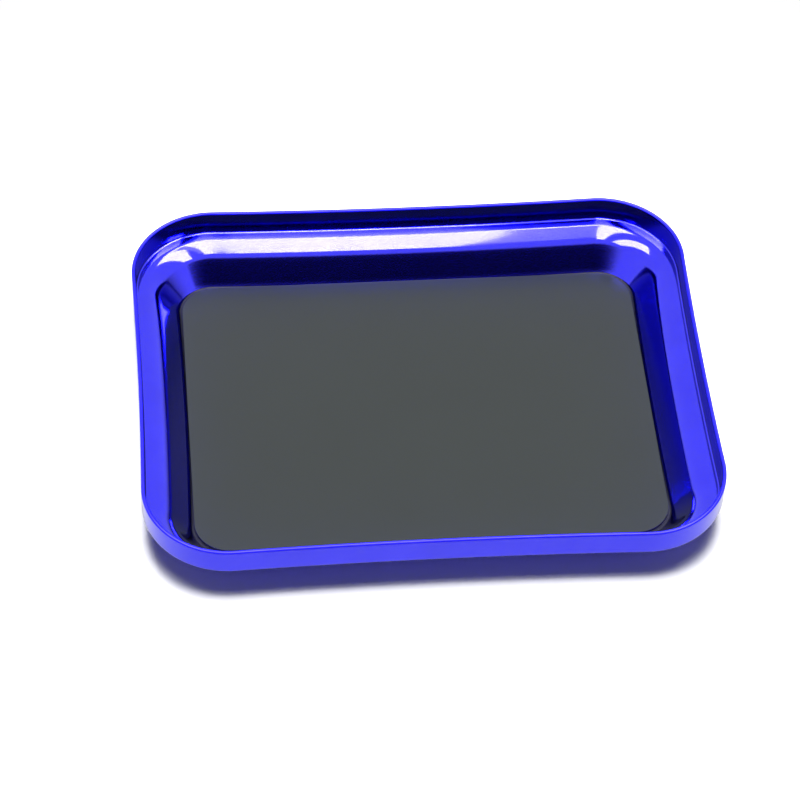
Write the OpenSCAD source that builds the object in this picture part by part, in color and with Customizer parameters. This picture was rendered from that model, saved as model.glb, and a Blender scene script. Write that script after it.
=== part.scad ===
// Magnetic parts tray: a small pressed sheet tray with an upright rim band, a rounded shoulder,
// a sloping wall and a flat floor, and a flexible magnetic panel stuck to that floor.
// Its sides are drawn in a little between the corners, as thin pressings are.
// Millimetres. The origin is at the middle of the underside, with +Z up and X along the length.

/* [Rim] */
// Length of the tray over its rim, at the corners
rim_length = 119; // [90:1:180]
// Width of the tray over its rim, at the corners
rim_width = 95; // [70:1:150]
// Corner radius of the rim, on its outer face
rim_corner_radius = 17.5; // [15:0.5:30]
// Height of the upright band, from the shoulder to the rim's edge
band_height = 5.8; // [3:0.1:12]
// Inside bend radius of the fold between the shoulder and the band
fold_radius = 0.4; // [0.3:0.1:2]
// How far the middle of each long side is drawn in
long_side_bow = 0.7; // [0.3:0.1:2]
// How far the middle of each short side is drawn in
short_side_bow = 0.4; // [0.3:0.1:2]

/* [Well] */
// Thickness of the pressed sheet
sheet = 0.8; // [0.5:0.05:1.2]
// How much thinner each face of the sheet is along the sides than at the corners, where it gathers
side_thinning = 0.02; // [0.01:0.01:0.05]
// Radius of the rounded shoulder, on its upper face
shoulder_radius = 6.5; // [3:0.1:9]
// Height of the straight stretch of the sloping wall
wall_rise = 4.8; // [2:0.1:10]
// Width over which that stretch slopes in
wall_run = 3.6; // [1:0.1:6]
// Radius of the foot, where the wall turns into the floor, on its upper face
foot_radius = 0.5; // [0.4:0.1:2]

/* [Magnetic panel] */
// Least play between the panel's lower edge and the foot of the wall
panel_play = 0.1; // [0.1:0.05:2]
// Thickness of the ferrite rubber magnet sheet
magnet_thickness = 0.5; // [0.4:0.05:1.5]
// Thickness of the gloss film laminated on the magnet sheet
film_thickness = 0.1; // [0.1:0.05:0.5]
// Thickness of the double-sided adhesive sheet under the magnet sheet
adhesive_thickness = 0.1; // [0.1:0.05:0.4]
// Margin by which the adhesive sheet stops short of the magnet sheet's edge
adhesive_margin = 1; // [0.2:0.1:3]

/* [Hidden] */

// Facets of a full circle, for bends and corners, and for the long arcs of the sides
bend_facets = 40;
side_facets = 540;
$fn = bend_facets;

// The sloping wall's straight stretch: its length along the sheet and its slope
wall_length = norm([wall_run, wall_rise]);
wall_slope = atan2(wall_rise, wall_run);

// Radii about a corner's own axis, from the rim in to the floor
band_u = rim_corner_radius - sheet;
shoulder_u = band_u - fold_radius;
wall_high_u = shoulder_u - shoulder_radius * sin(wall_slope);
wall_low_u = wall_high_u - wall_run;
foot_u = wall_low_u - foot_radius * sin(wall_slope);

// The wall's section starts inside the flat floor, which laps it. A core inside the sheet laps the wall
// into its two bends, and each corner laps the ends of its two sides by a small turn
lap_u = foot_u / 2;
slab_u = (lap_u + foot_u) / 2;
core = sheet / 4;
lap_turn = 1;

// Places of the four corner axes
corner_x = rim_length / 2 - rim_corner_radius;
corner_y = rim_width / 2 - rim_corner_radius;

// Heights above the underside
foot_z = sheet + foot_radius;
wall_low_z = foot_z - foot_radius * cos(wall_slope);
shoulder_z = wall_low_z + wall_rise - shoulder_radius * cos(wall_slope);
fold_z = shoulder_z + shoulder_radius;
band_z = fold_z + fold_radius;
rim_z = fold_z + band_height;
edge_z = rim_z - sheet / 2;
magnet_z = sheet + adhesive_thickness;
film_z = magnet_z + magnet_thickness;

// The magnetic panel: its straight edges clear the drawn-in sides, and its corners follow the floor's.
// It lies on the adhesive, so it may reach a little way over the foot, to where the foot rises as high
panel_lift = min(adhesive_thickness, foot_radius);
foot_cover = sqrt(panel_lift * (2 * foot_radius - panel_lift));
panel_radius = foot_u + foot_cover - panel_play;
panel_x = corner_x - short_side_bow;
panel_y = corner_y - long_side_bow;

// A drawn-in side is an arc that touches both corner arcs from outside. Its own far axis lies at a reach
// from a corner's axis, and at a stand-off from the line through both, for half the run between them
function reach(half_run, bow) = (half_run * half_run + bow * bow) / (2 * bow);
function stand_off(half_run, bow) = (half_run * half_run - bow * bow) / (2 * bow);
function half_turn(half_run, bow) = asin(half_run / reach(half_run, bow));

// Section of a bend of the sheet about the origin, from the right-hand side up through a turn of up to 90
module bend(inside_radius, thickness, turn) {
    outside_radius = inside_radius + thickness;
    spare = 2 * outside_radius;
    intersection() {
        difference() {
            circle(r = outside_radius);
            circle(r = inside_radius);
        }
        polygon([[0, 0], [spare, 0], [spare, spare], [spare * cos(turn), spare * sin(turn)]]);
    }
}

// Section of the rim's rounded edge about the middle of the sheet
module rounded_edge(radius) {
    intersection() {
        circle(r = radius);
        translate([-2 * radius, 0]) square([4 * radius, 2 * radius]);
    }
}

// Section of the pressed sheet from a corner's axis outwards: floor, foot, wall, shoulder, fold, band, edge
module wall_section(thinning) {
    thickness = sheet - 2 * thinning;
    translate([lap_u, 0]) square([foot_u - lap_u, sheet]);
    translate([foot_u, foot_z]) rotate(270) bend(foot_radius + thinning, thickness, wall_slope);
    translate([wall_low_u, wall_low_z]) rotate(wall_slope) {
        translate([0, thinning - sheet]) square([wall_length, thickness]);
        translate([-core, -(sheet + core) / 2]) square([wall_length + 2 * core, core]);
    }
    translate([shoulder_u, shoulder_z]) rotate(90)
        bend(shoulder_radius - sheet + thinning, thickness, wall_slope);
    translate([shoulder_u, band_z]) rotate(270) bend(fold_radius + thinning, thickness, 90);
    translate([band_u + thinning, band_z]) square([thickness, edge_z - band_z]);
    translate([band_u + sheet / 2, edge_z]) rounded_edge(thickness / 2);
}

// One side of the pan, swept about its own far axis between the planes where it touches its corners
module pan_side(distance, half_run, bow) {
    turn = half_turn(half_run, bow);
    translate([distance + stand_off(half_run, bow), 0, 0])
        rotate_extrude(angle = 2 * turn, start = 180 - turn, $fn = side_facets)
            translate([reach(half_run, bow), 0]) mirror([1, 0])
                wall_section(side_thinning, $fn = bend_facets);
}

// One corner of the pan, swept about its own axis a little way over the ends of its two sides
module pan_corner() {
    short_turn = half_turn(corner_y, short_side_bow) + lap_turn;
    long_turn = half_turn(corner_x, long_side_bow) + lap_turn;
    translate([corner_x, corner_y, 0])
        rotate_extrude(angle = short_turn + 90 + long_turn, start = -short_turn) wall_section(0);
}

// The tray itself, one pressing of aluminium sheet
module pressed_pan() {
    color([0.20, 0.19, 0.96]) {
        rounded_sheet(corner_x, corner_y, slab_u, sheet);
        for (turn = [0, 180]) {
            rotate(turn) pan_side(corner_x, corner_y, short_side_bow);
            rotate(turn + 90) pan_side(corner_y, corner_x, long_side_bow);
        }
        for (flip = [0, 1])
            mirror([flip, 0, 0])
                for (turn = [0, 1])
                    mirror([0, turn, 0]) pan_corner();
    }
}

// A flat sheet with rounded corners, from the places of the corners' centres
module rounded_sheet(centre_x, centre_y, radius, thickness) {
    linear_extrude(thickness) {
        square([2 * centre_x, 2 * (centre_y + radius)], center = true);
        for (side = [-1, 1])
            translate([side * (centre_x + radius / 2), 0])
                square([radius, 2 * centre_y], center = true);
        for (turn = [0, 180]) {
            rotate(turn) translate([centre_x, centre_y]) quarter_disc(radius);
            rotate(turn + 90) translate([centre_y, centre_x]) quarter_disc(radius);
        }
    }
}

// A quarter of a disc, between two radii at right angles
module quarter_disc(radius) {
    intersection() {
        circle(r = radius);
        square(2 * radius);
    }
}

// Double-sided adhesive between the floor and the magnet
module adhesive_sheet() {
    color([0.93, 0.91, 0.82])
        translate([0, 0, sheet])
            rounded_sheet(panel_x, panel_y, panel_radius - adhesive_margin, adhesive_thickness);
}

// Flexible magnet, ferrite powder in rubber, cut with rounded corners
module magnet_sheet() {
    color([0.16, 0.16, 0.16])
        translate([0, 0, magnet_z]) rounded_sheet(panel_x, panel_y, panel_radius, magnet_thickness);
}

// Dark grey gloss film that faces the magnet
module gloss_film() {
    color([0.32, 0.34, 0.34])
        translate([0, 0, film_z]) rounded_sheet(panel_x, panel_y, panel_radius, film_thickness);
}

pressed_pan();
adhesive_sheet();
magnet_sheet();
gloss_film();
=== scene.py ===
from math import asin, atan2, cos, degrees, hypot, pi, radians, sin
import bpy
from mathutils import Matrix, Vector


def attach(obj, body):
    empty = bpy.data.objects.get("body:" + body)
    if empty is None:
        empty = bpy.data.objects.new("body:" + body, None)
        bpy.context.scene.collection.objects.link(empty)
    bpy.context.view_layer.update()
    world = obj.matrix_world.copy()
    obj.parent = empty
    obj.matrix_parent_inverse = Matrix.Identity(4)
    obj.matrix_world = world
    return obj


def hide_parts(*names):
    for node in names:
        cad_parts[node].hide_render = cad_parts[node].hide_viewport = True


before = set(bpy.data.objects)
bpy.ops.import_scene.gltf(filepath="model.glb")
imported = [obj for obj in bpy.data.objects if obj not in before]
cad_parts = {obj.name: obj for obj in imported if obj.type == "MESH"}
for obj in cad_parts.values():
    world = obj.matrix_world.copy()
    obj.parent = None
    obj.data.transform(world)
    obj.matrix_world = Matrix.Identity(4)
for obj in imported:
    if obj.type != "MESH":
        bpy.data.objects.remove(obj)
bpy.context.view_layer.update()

# The camera stands in front of the tray, 49 degrees up and 7 degrees to its left, with a long lens,
# and is held a little out of level.
camera_place = Vector((-0.06088, -0.45051, 0.51876))
camera_aim = Vector((-0.00376, 0.00433, -0.00117))
camera_roll = radians(2.98)
camera_data = bpy.data.cameras.new("camera")
camera_data.lens = 146.65
camera_data.sensor_width = 36
camera_data.clip_start = 0.01
camera = bpy.data.objects.new("camera", camera_data)
camera_turn = (camera_aim - camera_place).to_track_quat("-Z", "Y").to_matrix()
camera.matrix_world = Matrix.Translation(camera_place) @ (
    camera_turn @ Matrix.Rotation(camera_roll, 3, "Z")
).to_4x4()
bpy.context.collection.objects.link(camera)
bpy.context.scene.camera = camera
bpy.context.scene.view_settings.view_transform = "Standard"

# The tray is one pressing of thin aluminium sheet: a flat floor, a sloping wall that rolls over a round
# shoulder, and an upright rim band with a rounded edge. It is drawn between dies, so its sides pull
# in a little between the corners. It is polished bright and anodised blue.
sheet = 0.0008
corner_x, corner_y = 0.042, 0.030
long_bow, short_bow = 0.0007, 0.0004
rim_radius = 0.0175
fold_radius, shoulder_radius, foot_radius = 0.0004, 0.0065, 0.0005
wall_rise, wall_run = 0.0048, 0.0036
band_height = 0.0058

slope = atan2(wall_rise, wall_run)
band_u = rim_radius - sheet
shoulder_u = band_u - fold_radius
wall_high_u = shoulder_u - shoulder_radius * sin(slope)
wall_low_u = wall_high_u - wall_run
foot_u = wall_low_u - foot_radius * sin(slope)
lap_u = foot_u / 2
foot_z = sheet + foot_radius
wall_low_z = foot_z - foot_radius * cos(slope)
wall_high_z = wall_low_z + wall_rise
shoulder_z = wall_high_z - shoulder_radius * cos(slope)
fold_z = shoulder_z + shoulder_radius
band_z = fold_z + fold_radius
edge_z = fold_z + band_height - sheet / 2


def bend(centre_u, centre_z, radius, start, end, steps):
    """Points of one bend of the section, from one angle to the other, in degrees."""
    angles = [radians(start + (end - start) * i / steps) for i in range(steps + 1)]
    return [(centre_u + radius * cos(a), centre_z + radius * sin(a)) for a in angles]


def straight(points, end_u, end_z, steps):
    """Points of a straight run of the section, on from its last point."""
    u, z = points[-1]
    return [(u + (end_u - u) * i / steps, z + (end_z - z) * i / steps) for i in range(1, steps)]


def pressing_section():
    """The sheet's section, out along its upper face, over the rim and back along its underside."""
    lean = degrees(slope)
    points = [(lap_u, sheet)]
    points += straight(points, foot_u, sheet, 3)
    points += bend(foot_u, foot_z, foot_radius, -90, lean - 90, 10)
    points += straight(points, wall_high_u, wall_high_z, 6)
    points += bend(shoulder_u, shoulder_z, shoulder_radius, 90 + lean, 90, 32)
    points += bend(shoulder_u, band_z, fold_radius, -90, 0, 8)
    points += straight(points, band_u, edge_z, 8)
    points += bend(band_u + sheet / 2, edge_z, sheet / 2, 180, 0, 12)
    points += straight(points, band_u + sheet, band_z, 8)
    points += bend(shoulder_u, band_z, fold_radius + sheet, 0, -90, 10)
    points += bend(shoulder_u, shoulder_z, shoulder_radius - sheet, 90, 90 + lean, 28)
    points += straight(points, wall_low_u + sheet * sin(slope), wall_low_z - sheet * cos(slope), 6)
    points += bend(foot_u, foot_z, foot_z, lean - 90, -90, 12)
    points += straight(points, lap_u, 0, 3)
    points += [(lap_u, 0)]
    clean = [points[0]]
    for u, z in points[1:]:
        if hypot(u - clean[-1][0], z - clean[-1][1]) > 1e-7:
            clean.append((u, z))
    return clean


def side_arc(half_run, bow):
    """Reach of a drawn-in side's far axis from a corner's axis, and half the angle that it turns."""
    reach = (half_run * half_run + bow * bow) / (2 * bow)
    return reach, asin(half_run / reach)


def pressing_stations():
    """Places round the tray: where the section's axis stands, and which way it faces."""
    long_reach, long_turn = side_arc(corner_x, long_bow)
    short_reach, short_turn = side_arc(corner_y, short_bow)
    corner_steps, long_steps, short_steps = 36, 48, 36
    stations = []
    for quarter in range(4):
        across = quarter % 2 == 1
        lead, trail = (long_turn, short_turn) if across else (short_turn, long_turn)
        sign_x = 1 if quarter in (0, 3) else -1
        sign_y = 1 if quarter in (0, 1) else -1
        axis_x, axis_y = sign_x * corner_x, sign_y * corner_y
        start, end = quarter * pi / 2 - lead, (quarter + 1) * pi / 2 + trail
        for i in range(corner_steps):
            angle = start + (end - start) * i / corner_steps
            stations.append((axis_x, axis_y, cos(angle), sin(angle)))
        steps = short_steps if across else long_steps
        reach = short_reach if across else long_reach
        far_x, far_y = axis_x + reach * cos(end), axis_y + reach * sin(end)
        for i in range(steps):
            angle = end - 2 * trail * i / steps
            out_x, out_y = cos(angle), sin(angle)
            stations.append((far_x - reach * out_x, far_y - reach * out_y, out_x, out_y))
    return stations


def pressing_mesh():
    """The section swept round the tray, with the flat floor filled in on both faces."""
    section, stations = pressing_section(), pressing_stations()
    count, rounds = len(section), len(stations)
    points = [(x + u * ox, y + u * oy, z) for x, y, ox, oy in stations for u, z in section]
    faces = []
    for i in range(rounds):
        here, there = i * count, (i + 1) % rounds * count
        faces += [(here + k, here + k + 1, there + k + 1, there + k) for k in range(count - 1)]
    faces.append([i * count for i in range(rounds)])
    faces.append([i * count + count - 1 for i in reversed(range(rounds))])
    mesh = bpy.data.meshes.new("tray_pressing")
    mesh.from_pydata(points, [], faces)
    mesh.polygons.foreach_set("use_smooth", [True] * len(mesh.polygons))
    mesh.validate()
    return mesh


def finish_nodes(name):
    """A new material with its node tree, shader and coordinates on the piece itself."""
    finish = bpy.data.materials.new(name)
    finish.use_nodes = True
    tree = finish.node_tree
    place = tree.nodes.new("ShaderNodeTexCoord").outputs["Object"]
    return finish, tree, tree.nodes["Principled BSDF"], place


def grain(tree, place, scale, detail, roughness):
    """Noise over the piece; scale is in grains to a metre."""
    noise = tree.nodes.new("ShaderNodeTexNoise")
    noise.inputs["Scale"].default_value = scale
    noise.inputs["Detail"].default_value = detail
    noise.inputs["Roughness"].default_value = roughness
    tree.links.new(place, noise.inputs["Vector"])
    return noise.outputs["Fac"]


def tones(tree, value, stops):
    """Colours picked by a value, from a list of places and colours."""
    node = tree.nodes.new("ShaderNodeValToRGB")
    ramp = node.color_ramp
    ramp.elements[0].position, ramp.elements[0].color = stops[0][0], (*stops[0][1], 1)
    ramp.elements[1].position, ramp.elements[1].color = stops[-1][0], (*stops[-1][1], 1)
    for position, colour in stops[1:-1]:
        ramp.elements.new(position).color = (*colour, 1)
    tree.links.new(value, node.inputs["Fac"])
    return node.outputs["Color"]


def fade(tree, value, start, end, low, high):
    """A smooth step of a value, from low at its start to high at its end."""
    step = tree.nodes.new("ShaderNodeMapRange")
    step.interpolation_type = "SMOOTHSTEP"
    step.inputs["From Min"].default_value = start
    step.inputs["From Max"].default_value = end
    step.inputs["To Min"].default_value = low
    step.inputs["To Max"].default_value = high
    tree.links.new(value, step.inputs["Value"])
    return step.outputs["Result"]


def relief(tree, shader, value, height, strength):
    """Fine unevenness of a surface, with the height of its grains in metres."""
    bump = tree.nodes.new("ShaderNodeBump")
    bump.inputs["Strength"].default_value = strength
    bump.inputs["Distance"].default_value = height
    tree.links.new(value, bump.inputs["Height"])
    tree.links.new(bump.outputs["Normal"], shader.inputs["Normal"])


def blue_anodised(name, least_rough, most_rough, coat):
    """Aluminium under a blue-dyed oxide film, polished under a clear coat or left satin."""
    finish, tree, shader, place = finish_nodes(name)
    cloud = grain(tree, place, 90, 3, 0.5)
    blues = tones(tree, cloud, [(0.35, (0.012, 0.008, 0.92)), (0.65, (0.017, 0.013, 0.99))])
    tree.links.new(blues, shader.inputs["Base Color"])
    speckle = grain(tree, place, 3200, 2, 0.6)
    tree.links.new(fade(tree, speckle, 0.3, 0.7, least_rough, most_rough), shader.inputs["Roughness"])
    relief(tree, shader, speckle, 0.00002, 0.5)
    shader.inputs["Metallic"].default_value = 1
    shader.inputs["Coat Weight"].default_value = coat
    shader.inputs["Coat Roughness"].default_value = least_rough
    shader.inputs["Coat IOR"].default_value = 1.55
    return finish


def foot_painted_shade():
    """The foot of the wall, which the polishing wheel doesn't reach, rough, and painted near black as the
    shade in the groove round the panel.
    """
    finish, tree, shader, place = finish_nodes("foot_painted_shade")
    shade_grain = grain(tree, place, 1800, 3, 0.6)
    # Painted shade: near-black blues stand for the shade in the groove at the foot.
    darks = tones(tree, shade_grain, [(0.3, (0.003, 0.003, 0.012)), (0.7, (0.006, 0.006, 0.03))])
    tree.links.new(darks, shader.inputs["Base Color"])
    tree.links.new(fade(tree, shade_grain, 0.3, 0.7, 0.5, 0.65), shader.inputs["Roughness"])
    relief(tree, shader, shade_grain, 0.00001, 0.3)
    shader.inputs["Metallic"].default_value = 0.6
    return finish


pressing = bpy.data.objects.new("tray_pressing", pressing_mesh())
bpy.context.collection.objects.link(pressing)
pressing.data.materials.append(blue_anodised("blue_anodised", 0.06, 0.12, 1))
pressing.data.materials.append(foot_painted_shade())
pressing.data.materials.append(blue_anodised("satin_edge", 0.38, 0.46, 0.3))
# Low faces at the foot that face up take the painted-shade material; faces above the edge take the satin
# edge.
foot_shade_slot, edge_slot = 1, 2
for face in pressing.data.polygons:
    low, faces_up = face.center.z < foot_z, face.normal.z > 0.3
    if face.center.z > edge_z:
        face.material_index = edge_slot
    elif low and faces_up and len(face.vertices) == 4:
        face.material_index = foot_shade_slot
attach(pressing, "root")
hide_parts("pressed_pan")

# A double-sided adhesive sheet, thin acrylic glue on a pale carrier, holds the magnet to the floor of
# the tray. It stops a little short of the magnet's edge.


def pale_glue():
    """Pale carrier with streaks of clear glue."""
    finish, tree, shader, place = finish_nodes("pale_glue")
    streaks = grain(tree, place, 400, 4, 0.6)
    creams = tones(tree, streaks, [(0.3, (0.72, 0.68, 0.55)), (0.7, (0.86, 0.83, 0.72))])
    tree.links.new(creams, shader.inputs["Base Color"])
    tree.links.new(fade(tree, streaks, 0.3, 0.7, 0.35, 0.6), shader.inputs["Roughness"])
    relief(tree, shader, streaks, 0.00002, 0.3)
    return finish


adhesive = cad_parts["adhesive_sheet"]
adhesive.data.materials.clear()
adhesive.data.materials.append(pale_glue())

# The magnet is a flexible sheet of ferrite powder in rubber, die-cut with round corners, and stuck to
# the floor of the tray. Only its cut edge shows, in the groove round the panel.
panel_x, panel_y, panel_radius = corner_x - short_bow, corner_y - long_bow, 0.0073
magnet_low, magnet_high = 0.0009, 0.0014


def panel_ring(inset, height, steps=20):
    """Round-cornered outline of the panel, drawn in by an inset, at a height."""
    radius = panel_radius - inset
    ring = []
    for quarter in range(4):
        centre_x = panel_x if quarter in (0, 3) else -panel_x
        centre_y = panel_y if quarter in (0, 1) else -panel_y
        for i in range(steps + 1):
            angle = (quarter + i / steps) * pi / 2
            ring.append((centre_x + radius * cos(angle), centre_y + radius * sin(angle), height))
    return ring


def panel_mesh(name, rings):
    """A flat sheet from the outlines of its edge, from the underside up, filled top and bottom."""
    points = [p for inset, height in rings for p in panel_ring(inset, height)]
    count = len(points) // len(rings)
    faces = [list(reversed(range(count)))]
    for r in range(len(rings) - 1):
        low, high = r * count, (r + 1) * count
        faces += [(low + i, low + (i + 1) % count, high + (i + 1) % count, high + i) for i in range(count)]
    faces.append(list(range(len(points) - count, len(points))))
    mesh = bpy.data.meshes.new(name)
    mesh.from_pydata(points, [], faces)
    mesh.validate()
    return mesh


def ferrite_rubber():
    """Dull black rubber full of fine grey ferrite."""
    finish, tree, shader, place = finish_nodes("ferrite_rubber")
    powder = grain(tree, place, 5000, 3, 0.7)
    dark, grey, light = (0.010, 0.010, 0.010), (0.025, 0.024, 0.023), (0.08, 0.08, 0.08)
    greys = tones(tree, powder, [(0.3, dark), (0.62, grey), (0.74, light)])
    tree.links.new(greys, shader.inputs["Base Color"])
    tree.links.new(fade(tree, powder, 0.3, 0.7, 0.5, 0.75), shader.inputs["Roughness"])
    relief(tree, shader, powder, 0.00003, 0.4)
    return finish


magnet_worn = 0.00008
magnet_edge = [
    (magnet_worn, magnet_low),
    (0, magnet_low + magnet_worn),
    (0, magnet_high - magnet_worn),
    (magnet_worn / 2, magnet_high),
]
magnet = bpy.data.objects.new("magnet", panel_mesh("magnet", magnet_edge))
bpy.context.collection.objects.link(magnet)
magnet.data.materials.append(ferrite_rubber())
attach(magnet, "root")
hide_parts("magnet_sheet")

# A dark grey gloss film, a plastic laminate, faces the magnet and is cut together with it. Its cut edge
# is rubbed light in places.
film_low, film_high = magnet_high, 0.0015


def dark_gloss():
    """Smooth dark grey plastic with a faint cloud in it."""
    finish, tree, shader, place = finish_nodes("dark_gloss")
    cloud = grain(tree, place, 40, 2, 0.5)
    greys = tones(tree, cloud, [(0.2, (0.038, 0.047, 0.044)), (0.8, (0.041, 0.051, 0.048))])
    tree.links.new(greys, shader.inputs["Base Color"])
    peel = grain(tree, place, 900, 1, 0.5)
    tree.links.new(fade(tree, peel, 0.2, 0.8, 0.23, 0.27), shader.inputs["Roughness"])
    relief(tree, shader, peel, 0.000002, 0.1)
    shader.inputs["IOR"].default_value = 1.5
    return finish


def rubbed_edge():
    """The film's cut edge, dark with light specks."""
    finish, tree, shader, place = finish_nodes("rubbed_edge")
    specks = grain(tree, place, 2600, 2, 0.6)
    dark, grey, light = (0.010, 0.011, 0.012), (0.02, 0.022, 0.022), (0.30, 0.31, 0.31)
    greys = tones(tree, specks, [(0.5, dark), (0.62, grey), (0.75, light)])
    tree.links.new(greys, shader.inputs["Base Color"])
    tree.links.new(fade(tree, specks, 0.3, 0.7, 0.4, 0.6), shader.inputs["Roughness"])
    relief(tree, shader, specks, 0.00002, 0.3)
    return finish


film_worn = 0.00005
film_edge = [
    (0, film_low),
    (0, film_high - 0.8 * film_worn),
    (0.4 * film_worn, film_high - 0.2 * film_worn),
    (film_worn, film_high),
]
film = bpy.data.objects.new("panel_film", panel_mesh("panel_film", film_edge))
bpy.context.collection.objects.link(film)
film.data.materials.append(dark_gloss())
film.data.materials.append(rubbed_edge())
for face in film.data.polygons:
    face.material_index = 0 if face.normal.z > 0.9 else 1
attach(film, "root")
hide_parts("gloss_film")

# The floor is a wide sheet of plain white board. It is lit to white round the tray and keeps the tray's
# shadow. What the tray mirrors of it close by, and gets from it, is dimmer than what the camera sees.
floor_half = 3.0
floor_drop = 0.00002
board_tint, board_tint_mirrored = 0.97, 0.38
white_start, white_end = 0.10, 0.16
white_start_mirrored, white_end_mirrored = 0.07, 0.11


def work(tree, operation, first, second):
    """The result of a sum with two values."""
    node = tree.nodes.new("ShaderNodeMath")
    node.operation = operation
    for socket, value in zip(node.inputs, (first, second)):
        if isinstance(value, (int, float)):
            socket.default_value = value
        else:
            tree.links.new(value, socket)
    return node.outputs[0]


def white_board():
    """Matt white near the tray, and even white further off."""
    board = bpy.data.materials.new("white_board")
    board.use_nodes = True
    tree = board.node_tree
    tree.nodes.clear()
    out = tree.nodes.new("ShaderNodeOutputMaterial")
    matt = tree.nodes.new("ShaderNodeBsdfDiffuse")
    glow = tree.nodes.new("ShaderNodeEmission")
    path = tree.nodes.new("ShaderNodeLightPath")
    seen = path.outputs["Is Camera Ray"]
    mirrored = work(tree, "MAXIMUM", path.outputs["Is Glossy Ray"], path.outputs["Is Transmission Ray"])
    tree.links.new(fade(tree, seen, 0, 1, board_tint_mirrored, board_tint), matt.inputs["Color"])
    away = tree.nodes.new("ShaderNodeVectorMath")
    away.operation = "LENGTH"
    tree.links.new(tree.nodes.new("ShaderNodeTexCoord").outputs["Object"], away.inputs[0])
    far = fade(tree, away.outputs["Value"], white_start, white_end, 0, 1)
    far_mirrored = fade(tree, away.outputs["Value"], white_start_mirrored, white_end_mirrored, 0, 1)
    seen_far = work(tree, "MULTIPLY", seen, far)
    mirrored_far = work(tree, "MULTIPLY", mirrored, far_mirrored)
    mix = tree.nodes.new("ShaderNodeMixShader")
    tree.links.new(work(tree, "MAXIMUM", seen_far, mirrored_far), mix.inputs["Fac"])
    tree.links.new(matt.outputs[0], mix.inputs[1])
    tree.links.new(glow.outputs[0], mix.inputs[2])
    tree.links.new(mix.outputs[0], out.inputs["Surface"])
    return board


floor_mesh = bpy.data.meshes.new("floor")
floor_corners = [(x * floor_half, y * floor_half, 0) for x, y in ((-1, -1), (1, -1), (1, 1), (-1, 1))]
floor_mesh.from_pydata(floor_corners, [], [(0, 1, 2, 3)])
floor_mesh.materials.append(white_board())
floor = bpy.data.objects.new("floor", floor_mesh)
floor.location.z = -floor_drop
bpy.context.collection.objects.link(floor)

# The room is a white tent with its front open and dark on the camera's side, and dim towards the horizon.
# It is white where the camera sees it, dimmer in a second mirror, and a weak fill on matt surfaces.
fill = 0.1
front_loss, side_loss = 0.95, 0.6
open_low, open_high = radians(26), radians(38)
open_inside, open_outside = 0.68, 0.78
open_level, horizon_level = 0.012, 0.1
horizon_top_left, horizon_top_right = 0.17, 0.32
left_end, right_start = -0.2, 0.2
front_end, side_start = -0.45, -0.1

world = bpy.data.worlds.new("tent")
bpy.context.scene.world = world
world.use_nodes = True
tree = world.node_tree
path = tree.nodes.new("ShaderNodeLightPath")
towards = tree.nodes.new("ShaderNodeSeparateXYZ")
tree.links.new(tree.nodes.new("ShaderNodeTexCoord").outputs["Generated"], towards.inputs[0])
to_right, to_back, upward = towards.outputs
lift = work(tree, "ARCTAN2", upward, work(tree, "MULTIPLY", to_back, -1))
aside = work(tree, "ABSOLUTE", to_right, 0)
opening = work(
    tree, "MULTIPLY",
    fade(tree, lift, open_low, open_high, 1, 0),
    fade(tree, aside, open_inside, open_outside, 1, 0),
)
horizon_left = work(
    tree, "MULTIPLY",
    fade(tree, upward, 0, horizon_top_left, horizon_level, 1),
    fade(tree, to_right, left_end, right_start, 1, 0),
)
horizon_right = fade(tree, upward, 0, horizon_top_right, horizon_level, 1)
horizon = work(tree, "MAXIMUM", horizon_right, horizon_left)
second_mirror = fade(tree, path.outputs["Ray Depth"], 2, 3, 0, 1)
loss = fade(tree, to_back, front_end, side_start, front_loss, side_loss)
remains = work(tree, "SUBTRACT", 1, work(tree, "MULTIPLY", second_mirror, loss))
front = fade(tree, opening, 0, 1, 1, open_level)
level = work(tree, "MULTIPLY", work(tree, "MULTIPLY", horizon, remains), front)
mirrored = work(tree, "MAXIMUM", path.outputs["Is Glossy Ray"], path.outputs["Is Transmission Ray"])
shown = work(tree, "MAXIMUM", path.outputs["Is Camera Ray"], work(tree, "MULTIPLY", mirrored, level))
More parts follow.
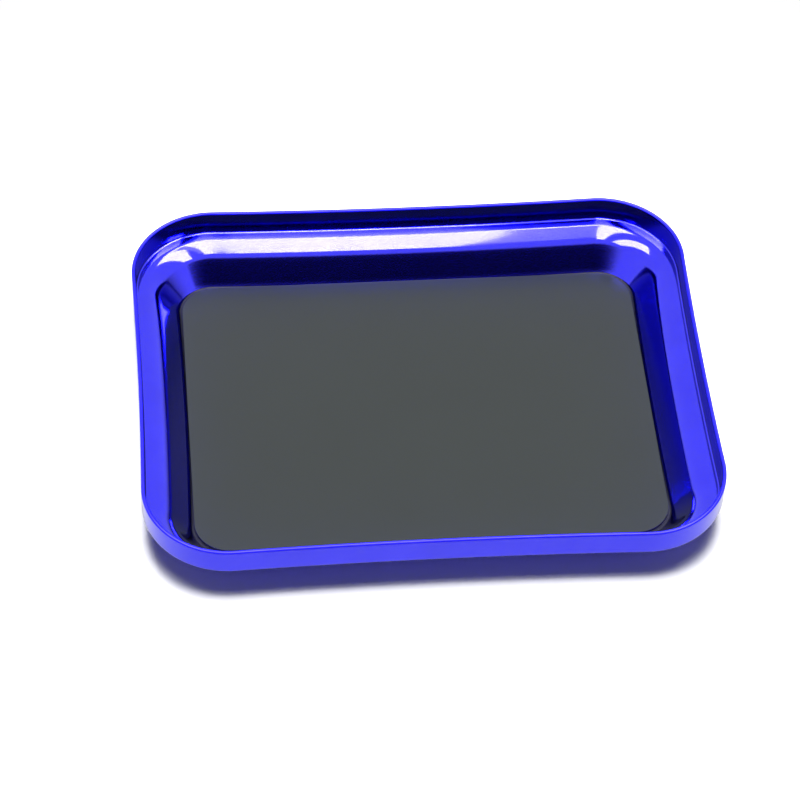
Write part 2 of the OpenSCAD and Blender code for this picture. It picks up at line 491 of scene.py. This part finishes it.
either = work(tree, "MAXIMUM", path.outputs["Is Camera Ray"], mirrored)
strength = work(tree, "ADD", shown, fade(tree, either, 0, 1, fill, 0))
tree.links.new(strength, tree.nodes["Background"].inputs["Strength"])
tree.nodes["Background"].inputs["Color"].default_value = (1, 1, 1, 1)

# The lamps are soft boxes overhead that face down. One lights everything, one the floor alone, and the
# other four only show in the bright metal, and hardly in a third mirror.
ceiling = 0.6
third_mirror = 0.03
box_radiance, strip_radiance = 15, 1.8


def softbox(name, place, size, radiance, mirrored_in=None, lights=None, turn=0):
    """A rectangular lamp for all things, for one, or to show in one; radiance 1 looks white."""
    data = bpy.data.lights.new(name, "AREA")
    data.shape = "RECTANGLE"
    data.size, data.size_y = size
    data.energy = radiance * pi * data.size * data.size_y
    lamp = bpy.data.objects.new(name, data)
    lamp.location = place
    lamp.rotation_euler.z = turn
    lamp.visible_camera = False
    lamp.visible_diffuse = mirrored_in is None
    lamp.visible_glossy = mirrored_in is not None
    bpy.context.collection.objects.link(lamp)
    if mirrored_in:
        data.use_nodes = True
        depth = data.node_tree.nodes.new("ShaderNodeLightPath").outputs["Ray Depth"]
        dimmed = fade(data.node_tree, depth, 3, 4, 1, third_mirror)
        data.node_tree.links.new(dimmed, data.node_tree.nodes["Emission"].inputs["Strength"])
    receiver = mirrored_in or lights
    if receiver:
        only = bpy.data.collections.new(name + "_receiver")
        only.objects.link(receiver)
        lamp.light_linking.receiver_collection = only


softbox("key", (0, 0.05, 1.0), (0.6, 0.6), 7.6)
softbox("floor_lamp", (0, 0.05, 0.8), (0.35, 0.35), 28, lights=floor)
softbox("top_box", (0.0275, -0.12, ceiling), (0.145, 0.68), box_radiance, mirrored_in=pressing)
softbox("side_strip", (0.1325, -0.08, ceiling), (0.065, 0.56), strip_radiance, mirrored_in=pressing)
softbox("left_box", (-0.35, -0.12, ceiling), (0.26, 0.72), box_radiance, mirrored_in=pressing)
softbox(
    "right_box", (0.37, -0.10, ceiling), (0.25, 0.85), box_radiance,
    mirrored_in=pressing, turn=radians(27.7),
)
